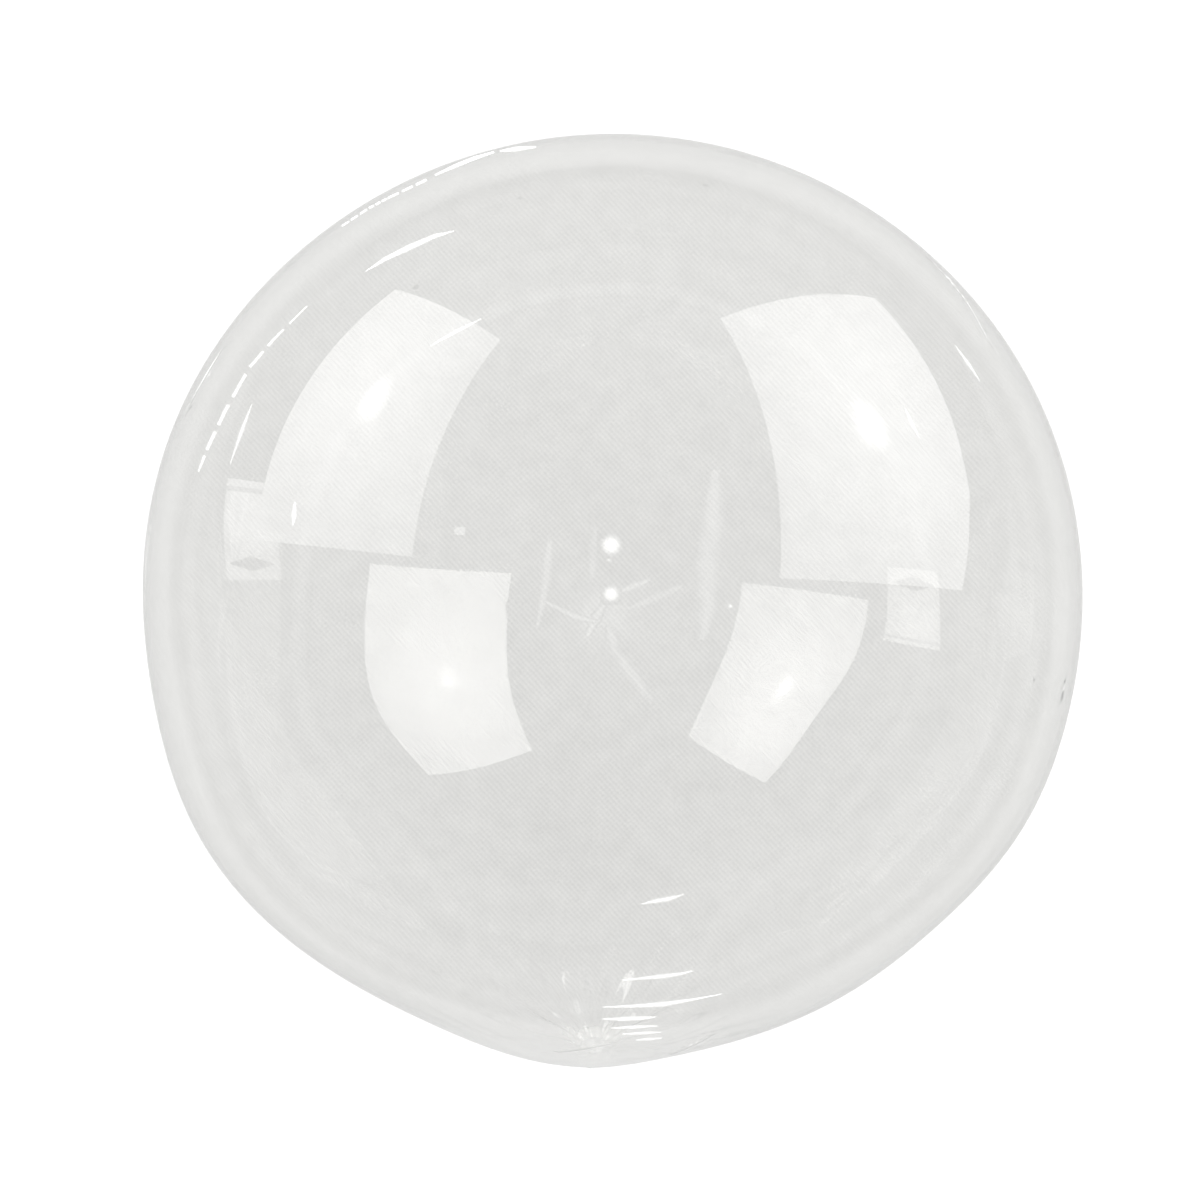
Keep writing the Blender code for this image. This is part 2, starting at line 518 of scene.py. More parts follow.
@dataclass
class EnvelopeFilm:
    """The blown-up film, from the neck's root round the crown, pressed flat where it lies."""

    form: FilmForm
    material: bpy.types.Material
    meridians: int = 160
    parallels: int = 116
    crowding: float = 1.2
    wall: float = 0.00035
    press_softness: float = 0.0012
    funnel: float = 0.0115
    funnel_width: float = 0.0085
    gather_seed: int = 8
    gather_count: int = 16
    gather_start: float = 7.0  # degrees from the neck's axis, as is its reach
    gather_reach: tuple[float, float] = (15.0, 27.0)
    gather_height: tuple[float, float] = (0.0002, 0.0004)
    gather_width: tuple[float, float] = (0.0026, 0.0040)
    fine_reaches: tuple[float, ...] = (0.0036, 0.0020)
    star_reach: float = 0.0010
    marks: tuple[Crease, ...] = (
        # Short creases left by folding, low on the shoulders
        Crease((66.9, 47.1), (64.5, 40.5), 0.00025, 0.0012),
        Crease((64.5, 40.5), (60.2, 34.1), 0.00025, 0.0012),
        Crease((64.0, 147.7), (64.6, 154.7), 0.0003, 0.0014),
        Crease((72.8, -82.6), (64.0, -77.5), 0.0007, 0.0014),
        Crease((70.0, -97.0), (63.0, -91.0), 0.0004, 0.0014),
        # Gel specks and small hooks
        Crease((52.2, -10.9), (52.2, -10.9), 0.0004, 0.0012),
        Crease((62.5, -11.1), (62.5, -11.1), 0.0004, 0.0012),
        Crease((52.1, 85.1), (52.1, 85.1), 0.0003, 0.0010),
        Crease((41.1, 86.6), (41.1, 86.6), 0.0003, 0.0009),
        Crease((51.8, -172.6), (51.8, -172.6), 0.0003, 0.0010),
        Crease((32.7, -173.7), (32.7, -173.7), 0.0003, 0.0009),
        Crease((25.2, -174.4), (25.2, -174.4), 0.0003, 0.0010),
        Crease((41.8, 16.4), (41.8, 16.4), 0.0003, 0.0010),
        Crease((10.7, -2.9), (10.7, -2.9), 0.0004, 0.0012),
    )

    def star(self) -> list[Crease]:
        """Creases that radiate over the flat spot, where the film is pressed on the floor."""
        rays = (
            (24.0, 11.0, 0.0008, 0.0032),
            (62.0, 7.0, 0.0005, 0.0026),
            (118.0, 6.0, 0.0005, 0.0024),
            (158.0, 8.0, 0.0006, 0.0026),
            (184.0, 15.0, 0.0007, 0.0036),
            (207.0, 13.0, 0.0008, 0.0034),
            (246.0, 11.0, 0.0008, 0.0036),
            (278.0, 12.0, 0.0007, 0.0038),
            (303.0, 18.0, 0.0007, 0.0046),
            (345.0, 8.0, 0.0006, 0.0026),
        )
        creases = []
        for bearing, reach, height, width in rays:
            start, end = (179.0, bearing), (180.0 - reach, bearing)
            creases.append(Crease(start, end, height, width, side=Side.INWARDS))
        return creases

    def gathers(self) -> list[Crease]:
        """Long creases that fan out of the gathered neck and die out on the ball."""
        pick = random.Random(self.gather_seed)
        pose = self.form.pose()
        creases = []
        for number in range(self.gather_count):
            around = 2.0 * math.pi * (number + pick.uniform(-0.25, 0.25)) / self.gather_count
            ends = []
            for degrees in (self.gather_start, pick.uniform(*self.gather_reach)):
                from_neck = math.radians(degrees)
                level = math.sin(from_neck)
                local = Vector((level * math.cos(around), level * math.sin(around), math.cos(from_neck)))
                out = pose @ local
                ends.append((math.degrees(math.acos(out.z)), math.degrees(math.atan2(out.y, out.x))))
            seen = max(0.0, math.sin(around))
            height = pick.uniform(*self.gather_height) * (1.0 - 0.97 * min(1.0, 2.0 * seen + 0.3))
            creases.append(Crease(ends[0], ends[1], height, pick.uniform(*self.gather_width)))
        return creases

    def build(self) -> bpy.types.Object:
        """Build the film.

        Returns:
            The finished piece.
        """
        creases = [*self.marks, *self.star(), *self.gathers()]
        bm = bmesh.new()
        bmesh.ops.create_uvsphere(bm, u_segments=self.meridians, v_segments=self.parallels, radius=1.0)
        for vert in bm.verts:
            spaced = math.acos(max(-1.0, min(1.0, vert.co.z)))
            from_neck = math.pi * (spaced / math.pi) ** self.crowding
            level = math.sin(from_neck)
            around = math.atan2(vert.co.y, vert.co.x)
            vert.co = (level * math.cos(around), level * math.sin(around), math.cos(from_neck))
        bm.transform(self.form.pose())
        self.refine(bm, creases, self.fine_reaches)
        self.refine(bm, self.star(), (self.star_reach,))

        directions = np.array([vert.co.normalized() for vert in bm.verts])
        from_neck, around = self.form.neck_angles(directions)
        from_axis = from_neck * self.form.mouth()
        radii = self.form.radii(from_neck, around)
        radii += self.funnel * np.exp(-((from_axis / self.funnel_width) ** 1.3))
        places = directions * radii[:, None] + np.array(self.form.middle)
        pressed = places[:, 2]
        places[:, 2] = (pressed + np.sqrt(pressed**2 + self.press_softness**2)) / 2.0
        apart = (*self.marks, *self.gathers())
        relief = sum(crease.relief(directions, self.form.radius) for crease in apart)
        relief += np.min([ray.relief(directions, self.form.radius) for ray in self.star()], axis=0)
        places += directions * relief[:, None]
        places[:, 2] = np.maximum(places[:, 2], 0.0)
        for vert, place in zip(bm.verts, places):
            vert.co = place
        return walled(finished(bm, "envelope_film", self.material), self.wall, Side.INWARDS)

    def refine(self, bm: bmesh.types.BMesh, creases: list[Crease], reaches: tuple[float, ...]) -> None:
        """Halve the mesh's faces along each crease, once for each reach.

        Args:
            bm: the film as a ball of radius 1.
            creases: the creases to come.
            reaches: how far past a crease each round goes, in metres.
        """
        for reach in reaches:
            middles = np.array([face.calc_center_median().normalized() for face in bm.faces])
            near = np.zeros(len(middles), bool)
            for crease in creases:
                near |= crease.across(middles, self.form.radius) < crease.width * 1.2 + reach
            edges = {edge for face, chosen in zip(bm.faces, near) if chosen for edge in face.edges}
            ordered = sorted(edges, key=lambda edge: edge.index)
            bmesh.ops.subdivide_edges(bm, edges=ordered, cuts=1, use_grid_fill=True)
            bm.edges.index_update()


@dataclass
class NeckKnot:
    """The drawn-in throat of pleats and the overhand knot pulled tight in it."""

    form: FilmForm
    material: bpy.types.Material
    throat_root: float = 0.0062
    throat_radius: float = 0.0052
    throat_length: float = 0.0070
    throat_start: float = 0.0050
    pleats: int = 24
    pleat_depth: float = 0.0009
    knot_size: tuple[float, float, float] = (0.018, 0.015, 0.015)
    knot_place: float = 0.0105
    knot_sink: float = 0.0015
    loop_radius: float = 0.0070
    loop_thickness: float = 0.0021
    loop_tilt: float = math.radians(38.0)
    wall: float = 0.0003

    def to_place(self) -> Matrix:
        """From the neck's own frame, its origin where the throat leaves the film, to the balloon's."""
        along = Matrix.Translation((0.0, 0.0, self.form.mouth()))
        return Matrix.Translation(self.form.middle) @ self.form.pose() @ along

    def build_throat(self) -> bpy.types.Object:
        """Build the pleated throat by turning its outline about the neck's axis."""
        bm = bmesh.new()
        steps = 14
        verts = []
        for step in range(steps + 1):
            share = step / steps
            narrowing = (1.0 - share) ** 1.6
            radius = self.throat_radius + (self.throat_root - self.throat_radius) * narrowing
            verts.append(bm.verts.new((radius, 0.0, share * self.throat_length + self.throat_start)))
        edges = [bm.edges.new(pair) for pair in zip(verts, verts[1:])]
        turned_about(bm, verts + edges, 144)
        bmesh.ops.remove_doubles(bm, verts=bm.verts, dist=1e-6)
        for vert in bm.verts:
            around = math.atan2(vert.co.y, vert.co.x)
            twist = 60.0 * vert.co.z
            fold = math.cos(self.pleats * around + twist) + 0.4 * math.cos(7 * around - twist)
            outwards = Vector((vert.co.x, vert.co.y, 0.0)).normalized()
            vert.co += outwards * self.pleat_depth / 2 * fold
        bm.transform(self.to_place())
        return walled(finished(bm, "neck_throat", self.material), self.wall, Side.INWARDS)

    def build_knot(self) -> bpy.types.Object:
        """Build the knot: a wrapped lump of film with the loop that holds it."""
        bm = bmesh.new()
        bmesh.ops.create_uvsphere(bm, u_segments=96, v_segments=64, radius=1.0)
        half = Vector(self.knot_size) / 2
        for vert in bm.verts:
            direction = vert.co.normalized()
            across = direction.z + 0.5 * direction.x
            wrap = 0.0009 * math.cos(3.0 * math.pi * across)
            around = math.atan2(direction.y, direction.x)
            level = math.sqrt(max(0.0, 1 - direction.z**2))
            crinkle = 0.00025 * math.cos(17 * around + 9.0 * direction.z) * level
            lump = Vector(size * share for size, share in zip(half, direction))
            vert.co = lump + direction * (wrap + crinkle)

        loop = bmesh.ops.create_circle(bm, segments=20, radius=self.loop_thickness)["verts"]
        bmesh.ops.scale(bm, verts=loop, vec=(1.0, 1.5, 1.0))
        bmesh.ops.rotate(bm, verts=loop, cent=(0, 0, 0), matrix=Matrix.Rotation(math.pi / 2, 3, "X"))
        bmesh.ops.translate(bm, verts=loop, vec=(self.loop_radius, 0.0, 0.0))
        loop_edges = list({edge for vert in loop for edge in vert.link_edges})
        before = set(bm.verts) - set(loop)
        turned_about(bm, loop + loop_edges, 72)
        ring = [vert for vert in bm.verts if vert not in before]
        bmesh.ops.remove_doubles(bm, verts=ring, dist=1e-6)
        ring = [vert for vert in bm.verts if vert not in before]
        for vert in ring:
            around = math.atan2(vert.co.y, vert.co.x)
            flat = Vector((vert.co.x, vert.co.y, 0.0))
            middle = flat.normalized() * self.loop_radius
            about = math.atan2(vert.co.z, flat.length - self.loop_radius)
            strand = 1.0 + 0.12 * math.cos(5.0 * about + 3.0 * around)
            vert.co = middle + (vert.co - middle) * strand
        bmesh.ops.rotate(bm, verts=ring, cent=(0, 0, 0), matrix=Matrix.Rotation(self.loop_tilt, 3, "Y"))
        bm.transform(self.to_place() @ Matrix.Translation((0.0, 0.0, self.knot_place - self.knot_sink)))
        return finished(bm, "neck_knot", self.material)


@dataclass
class LooseEnd:
    """The end of the neck below the knot: a flattened tube that opens into a ruffled fan."""

    form: FilmForm
    material: bpy.types.Material
    knot_place: float = 0.0105
    reach: float = 0.0555
    width: float = 0.036
    neck_width: float = 0.0095
    gap: float = 0.0010
    ruffle: float = 0.0024
    wall: float = 0.00025
    lip: float = 0.0006

    def build(self) -> bpy.types.Object:
        """Build the loose end, hanging straight down from the knot's middle."""
        bm = bmesh.new()
        bmesh.ops.create_cone(bm, cap_ends=False, segments=96, radius1=1.0, radius2=1.0, depth=1.0)
        upright = [edge for edge in bm.edges if abs(edge.verts[0].co.z - edge.verts[1].co.z) > 0.5]
        bmesh.ops.subdivide_edges(bm, edges=upright, cuts=44)
        for vert in bm.verts:
            down = 0.5 - vert.co.z
            opened = math.sin(down * math.pi / 2)
            half_width = (self.neck_width + (self.width - self.neck_width) * opened) / 2
            x = vert.co.x * half_width
            layer = math.copysign(abs(vert.co.y) ** 0.5, vert.co.y) * self.gap / 2
            gathers = 0.0007 * (1.0 - down) ** 1.5 * math.cos(9.0 * math.pi * vert.co.x)
            edge_share = max(0.0, abs(x) - 0.006) / (self.width / 2)
            ruffle = self.ruffle * math.sin(min(1.0, edge_share * 2.0) * math.pi) * math.copysign(1.0, x) * down
            wave = 0.0007 * down**2 * math.sin(5.0 * math.pi * vert.co.x + 1.0)
            rim = self.lip * math.exp(-(((1.0 - down) / 0.025) ** 2)) * math.copysign(1.0, vert.co.y)
            drop = self.reach * down + 0.0012 * down * math.cos(3.0 * math.pi * vert.co.x)
            vert.co = (x, layer + gathers + ruffle + wave + rim, -drop)
        knot = self.form.pose() @ Vector((0.0, 0.0, self.form.mouth() + self.knot_place))
        place = Matrix.Translation(Vector(self.form.middle) + knot) @ Matrix.Rotation(self.form.turn, 4, "Z")
        bm.transform(place)
        return walled(finished(bm, "loose_end", self.material), self.wall, Side.INWARDS)


# ---------------------------------------------------------------------------------------------
# The studio around it
# ---------------------------------------------------------------------------------------------


@dataclass(frozen=True)
class Picture:
    """The picture's frame, and the near film as a mirror in it."""

    form: FilmForm
    height: float = 3.8  # of the camera, in balloon radii above the balloon's middle
    scale: float = 1716.4  # pixels of a 1200 pixel frame for each unit of tangent
    middle: tuple[float, float] = (613.5, 600.0)  # where the balloon's middle is in the frame

    def camera(self) -> np.ndarray:
        """The camera's place from the balloon's middle, in metres."""
        return np.array((0.0, 0.0, self.height * self.form.radius))

    def beyond_film(self, points: np.ndarray) -> np.ndarray:
        """How far outside the film points are, in metres from the balloon's middle."""
        reach = np.linalg.norm(points, axis=1)
        return reach - self.form.radii(*self.form.neck_angles(points / reach[:, None]))

    def lamp_place(self, across: float, down: float, distance: float) -> Vector:
        """Where a lamp stands whose image on the near film falls on a point of the picture.

        Args:
            across: pixels from the frame's left.
            down: pixels from the frame's top.
            distance: of the lamp from the film, in balloon radii.

        Returns:
            The place in the balloon's frame.
        """
        sight = np.array(((across - self.middle[0]) / self.scale, (self.middle[1] - down) / self.scale, -1.0))
        sight = sight / np.linalg.norm(sight)
        near, far = (self.height - 1.3) * self.form.radius, (self.height + 0.2) * self.form.radius
        for _ in range(3):
            steps = np.linspace(near, far, 120)
            outside = self.beyond_film(self.camera() + np.outer(steps, sight))
            inside = np.flatnonzero(outside < 0.0)
            first = int(inside[0]) if len(inside) else int(np.argmin(outside))
            near, far = steps[max(0, first - 1)], steps[min(len(steps) - 1, first + 1)]
        point = self.camera() + sight * (near + far) / 2.0
        nudge = np.eye(3) * 2e-4
        slope = self.beyond_film(point + nudge) - self.beyond_film(point - nudge)
        normal = slope / np.linalg.norm(slope)
        mirrored = sight - 2.0 * float(sight @ normal) * normal
        return Vector(self.form.middle) + Vector(point + mirrored * distance * self.form.radius)


def lamp_grid(across: int, down: int, from_top: bool = False) -> bmesh.types.BMesh:
    """A flat grid from -1 to 1, with a UV map over it.

    Args:
        across: its number of faces across.
        down: its number of faces down.
        from_top: whether the map counts down from the grid's top, and not up from its foot.

    Returns:
        The grid.
    """
    bm = bmesh.new()
    bmesh.ops.create_grid(bm, x_segments=across, y_segments=down, size=1.0)
    layer = bm.loops.layers.uv.new("UVMap")
    for face in bm.faces:
        for loop in face.loops:
            x, y, _ = loop.vert.co
            loop[layer].uv = ((x + 1) / 2, ((1 - y) if from_top else (y + 1)) / 2)
    return bm


def glowing(name: str, rim: float, glow: float, rounded: bool) -> bpy.types.Material:
    """A lamp's surface that is brightest along its middle, or round its middle.

    Args:
        name: of the material.
        rim: how bright it is at its edge.
        glow: how bright it is in its middle.
        rounded: whether it fades in every direction, and not only across.

    Returns:
        The material, which reads the piece's UV map.
    """
    material = light_material(name)
    board = NodeBoard(material.node_tree)
    place = board.place("UV")
    if not rounded:
        flatten = {"Vector": place, "Scale": (0.0, 1.0, 1.0), "Location": (0.5, 0.0, 0.0)}
        place = board.node("Mapping", flatten).outputs["Vector"]
    away = board.distance(place, (0.5, 0.5, 0.0))
    board.show(board.emission(board.graded(away, (0.0, 0.5), (glow, rim), "SMOOTHERSTEP")))
    return material


def staged(bm: bmesh.types.BMesh, name: str, material: bpy.types.Material) -> bpy.types.Object:
    """Turn a bmesh into an object of the studio. The bmesh is freed."""
    mesh = bpy.data.meshes.new(name)
    bm.to_mesh(mesh)
    bm.free()
    mesh.materials.append(material)
    obj = bpy.data.objects.new(name, mesh)
    bpy.context.scene.collection.objects.link(obj)
    return obj


def only_mirrored(obj: bpy.types.Object) -> bpy.types.Object:
    """Let a lamp show in the film's gloss alone, and light nothing else."""
    obj.visible_camera = False
    obj.visible_diffuse = False
    obj.visible_transmission = False
    obj.visible_shadow = False
    return obj


@dataclass(frozen=True)
class LampStrip:
    """A narrow lamp, by the path and the width of its image in the picture, in pixels."""

    name: str
    path: tuple[tuple[float, float, float], ...]  # across, down and width
    glow: float = 6.0
    rim: float = 1.5
    distance: float = 2.5
    dashes: int = 0

    def at(self, share: float) -> tuple[Vector, float]:
        """The path's place and width at a share of its length."""
        reach = share * (len(self.path) - 1)
        first = min(int(reach), len(self.path) - 2)
        start, end = Vector(self.path[first]), Vector(self.path[first + 1])
        between = start.lerp(end, reach - first)
        return Vector((between.x, between.y)), between.z

    def build(self, picture: Picture) -> bpy.types.Object:
        """Build the strip.

        Args:
            picture: the frame that its path is in.

        Returns:
            The lamp, which is part of the stage.
        """
        pieces = max(4 * self.dashes, 3 * (len(self.path) - 1))
        bm = lamp_grid(pieces, 2)
        if self.dashes:
            gaps = [f for f in bm.faces if round((f.calc_center_median().x + 1) / 2 * pieces - 0.5) % 4 == 3]
            bmesh.ops.delete(bm, geom=gaps, context="FACES")
        for vert in bm.verts:
            share, side = (vert.co.x + 1) / 2, vert.co.y
            place, width = self.at(share)
            ahead = self.at(min(1.0, share + 0.02))[0] - self.at(max(0.0, share - 0.02))[0]
            across = Vector((-ahead.y, ahead.x)).normalized() * side * width / 2
            vert.co = picture.lamp_place(place.x + across.x, place.y + across.y, self.distance)
        return only_mirrored(staged(bm, self.name, glowing(self.name, self.rim, self.glow, False)))


@dataclass(frozen=True)
class LampGlow:
    """The soft glow round a small lamp, by its image in the picture, in pixels."""

    name: str
    place: tuple[float, float]
    size: float
    glow: float = 4.0
    rim: float = 0.65
    distance: float = 6.0

    def build(self, picture: Picture) -> bpy.types.Object:
        """Build the glow.

        Args:
            picture: the frame that its place is in.

        Returns:
            The lamp, which is part of the stage.
        """
        bm = lamp_grid(4, 4)
        for vert in bm.verts:
            across = self.place[0] + vert.co.x * self.size / 2
            down = self.place[1] + vert.co.y * self.size / 2
            vert.co = picture.lamp_place(across, down, self.distance)
        return only_mirrored(staged(bm, self.name, glowing(self.name, self.rim, self.glow, True)))


STRIPS = (
    LampStrip("streak_upper_left", ((366, 271, 1), (385, 259, 5), (410, 247, 7), (435, 236, 5), (454, 231, 1)), 9.0),
    LampStrip("streak_on_lamp", ((430, 346, 1), (455, 332, 4), (481, 319, 1)), 14.0, 4.0, 1.2),
    LampStrip(
        "dashes_left",
        ((307, 306, 1.5), (274, 339, 3), (249, 368, 3.5), (225, 411, 4), (208, 447, 4), (196, 477, 1.5)),
        4.5,
        2.0,
        dashes=7,
    ),
    LampStrip("streak_left_rim", ((222, 350, 1), (208, 374, 6), (193, 400, 1)), 3.5),
    LampStrip("streak_left", ((252, 404, 1), (242, 430, 5), (230, 464, 1)), 4.5),
    LampStrip("blob_on_lamp", ((295, 502, 2), (294, 514, 6), (293, 525, 1)), 12.0, 4.0, 1.2),
    LampStrip("small_pane", ((454, 531, 8), (465, 531, 8)), 3.5, 3.0),
    LampStrip("rim_dots", ((342, 226, 2), (369, 208, 2.5), (388, 198, 2.5), (430, 178, 3)), 3.0, 1.5, dashes=9),
    LampStrip("rim_line", ((435, 175, 2), (455, 166, 4), (475, 158, 4), (494, 152, 2)), 3.0),
    LampStrip("rim_line_top", ((500, 151, 2), (516, 149, 5), (536, 147, 2)), 2.6),
    LampStrip("streak_right_rim", ((930, 260, 1), (950, 281, 4), (968, 305, 4), (983, 332, 3), (990, 346, 1)), 3.2),
    LampStrip("streak_right_low", ((955, 345, 1), (968, 363, 4), (980, 381, 1)), 3.5),
    LampStrip("streak_right", ((905, 408, 1), (912, 423, 4), (920, 439, 1)), 9.0, 3.0, 1.2),
    LampStrip("arc_1", ((641, 904, 1), (655, 901, 6), (668, 899, 7), (679, 896, 3), (684, 894, 1)), 9.0),
    LampStrip("arc_2", ((622, 980, 1), (645, 978, 4), (665, 976, 6), (680, 974, 4), (693, 971, 1)), 6.5),
    LampStrip("arc_3", ((602, 1007, 1), (635, 1006, 4), (665, 1004, 6), (690, 1000, 3), (722, 994, 1)), 5.5),
    LampStrip("arc_4", ((602, 1019, 1), (622, 1019, 5), (645, 1018, 4), (656, 1017, 1)), 4.5),
    LampStrip("arc_5", ((611, 1028, 1), (635, 1027, 4), (658, 1026, 1)), 3.5),
    LampStrip("arc_6", ((622, 1034, 1), (645, 1033, 3.5), (661, 1032, 1)), 3.0),
    LampStrip("arc_7", ((636, 1040, 1), (650, 1039, 3), (662, 1038, 1)), 2.5),
    LampStrip("ray_left", ((544, 601, 3), (560, 609, 7), (576, 617, 9), (598, 622, 4)), 2.8, 0.66, 3.5),
    LampStrip("ray_low_left", ((605, 603, 6), (596, 618, 13), (587, 636, 6)), 2.6, 0.66, 4.0),
    LampStrip("ray_low", ((608, 626, 6), (612, 638, 16), (617, 654, 6)), 2.4, 0.66, 5.0),
    LampStrip("ray_low_right", ((612, 646, 8), (632, 674, 18), (652, 702, 6)), 1.8, 0.66, 4.0),
    LampStrip("ray_right", ((619, 592, 5), (634, 586, 11), (650, 580, 3)), 2.6, 0.66, 4.0),
    LampStrip("ray_right_low", ((629, 608, 5), (655, 598, 15), (682, 586, 5)), 1.8, 0.66, 4.5),
    LampStrip("ray_up", ((597, 527, 6), (593, 550, 16), (592, 578, 8)), 1.7, 0.66, 5.0),
    LampStrip("soft_gap_left", ((550, 541, 8), (547, 570, 15), (543, 600, 11), (537, 628, 4)), 2.2, 0.66, 4.0),
    LampStrip("soft_gap_right", ((716, 470, 14), (713, 520, 34), (707, 570, 38), (702, 640, 12)), 2.3, 0.68, 2.0),
)

GLOWS = (
    LampGlow("glow_1", (611, 545), 28, 11.0, distance=3.0),
    LampGlow("glow_2", (611, 594), 22, 10.0, distance=3.0),
    LampGlow("glow_3", (730, 606), 6, 8.0, 2.0),
    LampGlow("glow_4", (672, 557), 26, 1.6),
    LampGlow("glow_6", (603, 614), 96, 2.0, distance=7.0),
    LampGlow("glow_7", (567, 583), 22, 1.3),
    LampGlow("glow_5", (609, 559), 6, 7.0, 2.0),
)


@dataclass(frozen=True)
class LampPanel:
    """A big soft lamp, by its four corners in balloon radii from the balloon's middle."""

    name: str
    corners: tuple[tuple[float, float, float], ...]
    hot_spot: tuple[float, float]
    glow: float
    hot_glow: float
    film: Film = Film.NEAR
    curtain: bool = False
    centre_and_edge: tuple[float, float] = (1.15, 0.78)  # shares of the glow, near and far from its bulb
    fade_reach: float = 0.75
    bulb_reach: float = 0.11
    walls_passed: float = 3.0  # near images have passed fewer faces of film than this, far ones more

    def material(self) -> bpy.types.Material:
        """The lamp's cloth: evenly lit, with a hotter spot over its bulb."""
        material = light_material(self.name)
        board = NodeBoard(material.node_tree)
        place = board.place("UV")
        away = board.distance(place, (*self.hot_spot, 0.0))
        levels = tuple(self.glow * share for share in self.centre_and_edge)
        wide = board.graded(away, (0.0, self.fade_reach), levels, "SMOOTHERSTEP")
        extra = (self.hot_glow - self.glow, 0.0)
        bulb = board.graded(away, (0.0, self.bulb_reach), extra, "SMOOTHERSTEP")
        strength = board.total("ADD", wide, bulb)
        if self.curtain:
            strength = self.with_tied_curtain(board, place, strength)
        glow = board.emission(strength, (1.0, 0.997, 0.992, 1.0))
        passed = board.node("LightPath", {}).outputs["Transmission Depth"]
        rule = "LESS_THAN" if self.film is Film.NEAR else "GREATER_THAN"
        shown = board.total(rule, passed, self.walls_passed)
        board.show(board.clear_and(shown, None, glow))
        return material

    def with_tied_curtain(
        self, board: NodeBoard, place: bpy.types.NodeSocket, strength: bpy.types.NodeSocket
    ) -> bpy.types.NodeSocket:
        """Dim a window's light by its top frame and by the dark gap of a tied curtain at its foot.

        Args:
            board: the window's nodes.
            place: the panel's own coordinates.
            strength: the light without them.

        Returns:
            The dimmed light.
        """

        def off(value: bpy.types.NodeSocket, middle: float) -> bpy.types.NodeSocket:
            """How far a value is from a middle."""
            return board.total("ABSOLUTE", board.total("SUBTRACT", value, middle), 0.0)

        split = board.node("SeparateXYZ", {"Vector": place}).outputs
        across = board.total("MULTIPLY", off(split["X"], 0.5), 2.4)
        down = board.total("MULTIPLY", off(split["Y"], 0.84), 13.0)
        gap = board.total("LESS_THAN", board.total("ADD", across, down), 1.0)
        rail = board.total("LESS_THAN", off(split["Y"], 0.10), 0.025)
        dimmed = board.total("ADD", board.total("MULTIPLY", gap, 0.62), board.total("MULTIPLY", rail, 0.35))
        return board.total("MULTIPLY", strength, board.total("SUBTRACT", 1.0, dimmed))

    def build(self, form: FilmForm) -> bpy.types.Object:
        """Build the panel.

        Args:
            form: the balloon that the corners are measured from.

        Returns:
            The panel, which is part of the stage.
        """
        bm = lamp_grid(8, 8, from_top=True)
        top_left, top_right, low_right, low_left = (Vector(corner) for corner in self.corners)
        for vert in bm.verts:
            right, down = (vert.co.x + 1) / 2, (1 - vert.co.y) / 2
            top = top_left.lerp(top_right, right)
            low = low_left.lerp(low_right, right)
            vert.co = Vector(form.middle) + top.lerp(low, down) * form.radius
        obj = only_mirrored(staged(bm, self.name, self.material()))
        obj.visible_glossy = self.film is Film.NEAR
        obj.visible_transmission = True
        return obj


PANELS = (
    LampPanel(
        "left_lamp_near",
        ((-1.40, 2.04, 0.45), (-0.80, 1.87, 1.51), (-2.92, 0.37, 3.43), (-3.98, 0.54, 0.76)),
        (0.52, 0.30), 2.35, 4.6,
    ),
    LampPanel(
        "right_lamp_near",
        ((0.83, 2.21, 1.41), (1.68, 1.97, 0.11), (3.84, -0.03, 0.94), (1.50, 0.04, 2.54)),
        (0.43, 0.44), 2.4, 4.9,
    ),
    LampPanel(
        "left_lamp_far",
        ((-2.32, 2.74, 0.82), (-1.36, 2.49, 2.22), (-2.26, 0.10, 2.74), (-3.66, 0.14, 0.47)),
        (0.41, 0.37), 3.5, 6.0, Film.FAR,
    ),
    LampPanel(
        "right_lamp_far",
        ((1.14, 2.83, 1.95), (2.31, 2.88, 0.40), (3.59, -0.46, 0.67), (1.82, -0.17, 3.03)),
        (0.42, 0.53), 3.75, 5.9, Film.FAR,
    ),
    LampPanel(
        "side_window_near",
        ((-5.2, 1.58, -0.70), (-5.2, 1.68, 1.09), (-5.2, 0.05, 1.52), (-5.2, 0.08, -0.06)),
        (0.5, 0.3), 1.6, 1.7, curtain=True,
    ),
    LampPanel(
        "side_window_far",
        ((-1.31, 0.21, -0.95), (-1.42, 0.29, -0.30), (-1.45, -0.10, -0.38), (-1.34, -0.08, -0.94)),
        (0.5, 0.3), 2.7, 2.8, Film.FAR, True,
    ),
)


@dataclass(frozen=True)
class Floor:
    """A plain pale floor, with a soft shadow painted on it under the balloon."""

    colour: tuple[float, float, float] = (0.96, 0.96, 0.957)
    roughness: float = 0.9
    # painted shadow under the balloon: where it fades out, and how dark it is at its middle
    painted_shadow_span: tuple[float, float] = (0.03, 0.26)
    painted_shadow_depth: float = 0.82
    radius: float = 9.0

    def build(self, form: FilmForm) -> bpy.types.Object:
        """Build the floor under a balloon of a form."""
        bm = bmesh.new()
        bmesh.ops.create_circle(bm, cap_ends=True, segments=96, radius=self.radius)
        bmesh.ops.translate(bm, verts=bm.verts, vec=(0.0, 0.0, -FLOOR_DROP))
        material = bpy.data.materials.new("floor")
        material.use_nodes = True
        board = NodeBoard(material.node_tree)
        shader = material.node_tree.nodes["Principled BSDF"]
        shader.inputs["Roughness"].default_value = self.roughness
        shader.inputs["Specular IOR Level"].default_value = 0.0
        away = board.distance(board.place("Object"), (form.middle[0], form.middle[1], -FLOOR_DROP))
        # painted shadow: the floor's colour darkens towards the balloon's foot
        shade = board.graded(away, self.painted_shadow_span, (self.painted_shadow_depth, 1.0), "SMOOTHSTEP")
        material.node_tree.links.new(board.scaled(self.colour, shade), shader.inputs["Base Color"])
        floor = staged(bm, "floor", material)
        floor.visible_glossy = False
        return floor


